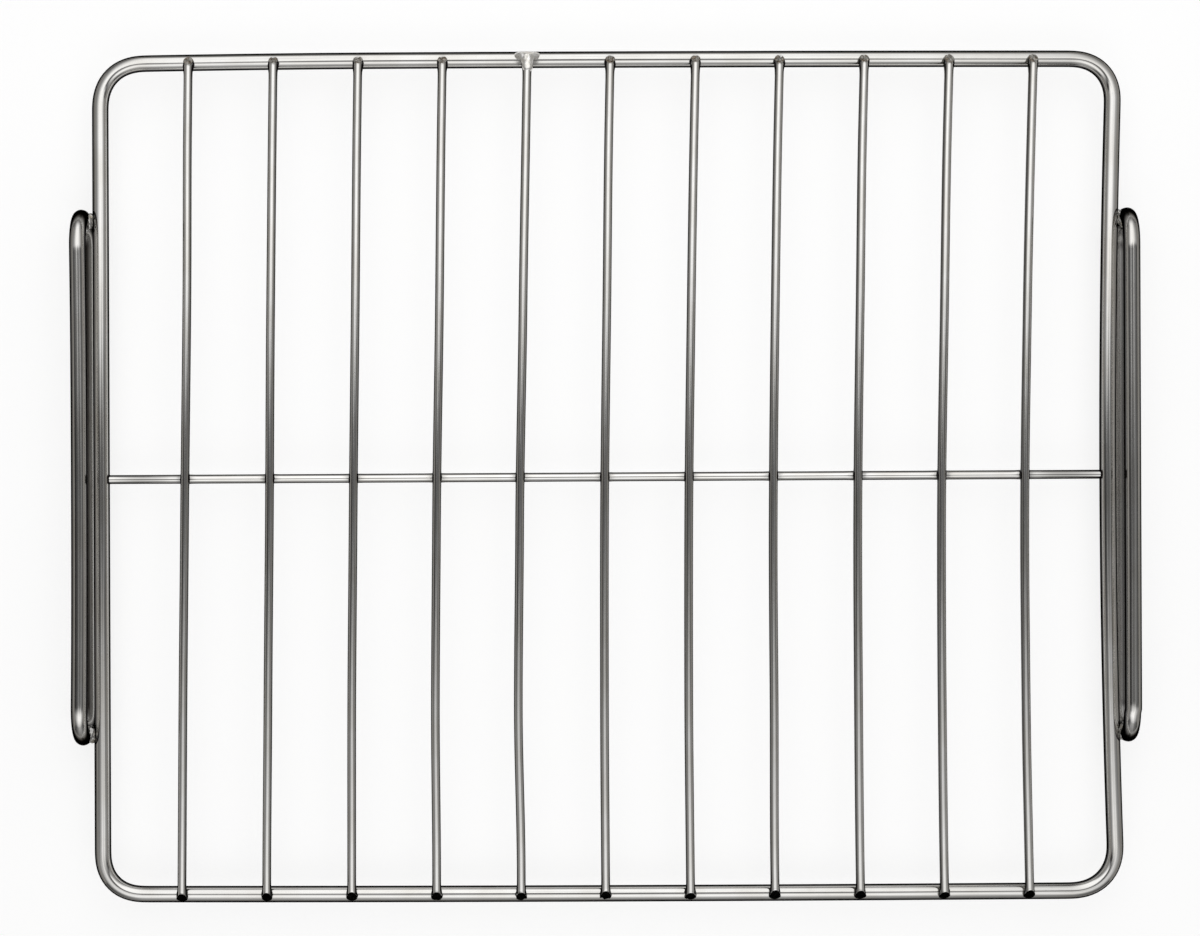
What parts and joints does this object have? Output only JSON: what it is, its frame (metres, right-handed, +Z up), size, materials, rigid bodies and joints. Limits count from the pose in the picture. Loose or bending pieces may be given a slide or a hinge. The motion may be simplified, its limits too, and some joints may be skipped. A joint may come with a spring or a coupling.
{
  "type": "roasting rack",
  "caption": "Flat rectangular roasting rack of welded round wire, with a grid of cross bars, a tie wire under them and a raised loop at each end that is both foot and handle.",
  "frame": {"origin": "on the surface that the rack stands on, under the middle of its outline", "axes": "+X along the rack towards the loop that is at the right in the picture, +Y across it towards the side that is at the top of the picture, +Z up"},
  "size_m": [0.4104, 0.329, 0.0283],
  "materials": {
    "heavy_wire": "bright drawn stainless steel wire",
    "light_wire": "bright drawn stainless steel wire",
    "weld": "as-welded stainless steel, cleaned and satin"
  },
  "bodies": {
    "root": {"frame": "heavy_wire", "grid_bar_01": "light_wire", "grid_bar_02": "light_wire", "grid_bar_03": "light_wire", "grid_bar_04": "light_wire", "grid_bar_05": "light_wire", "grid_bar_06": "light_wire", "grid_bar_07": "light_wire", "grid_bar_08": "light_wire", "grid_bar_09": "light_wire", "grid_bar_10": "light_wire", "grid_bar_11": "light_wire", "tie_wire": "light_wire", "left_loop": "heavy_wire", "right_loop": "heavy_wire", "left_rear_weld": "weld", "left_front_weld": "weld", "right_rear_weld": "weld", "right_front_weld": "weld", "frame_joint_weld": "weld"}
  },
  "joints": []
}
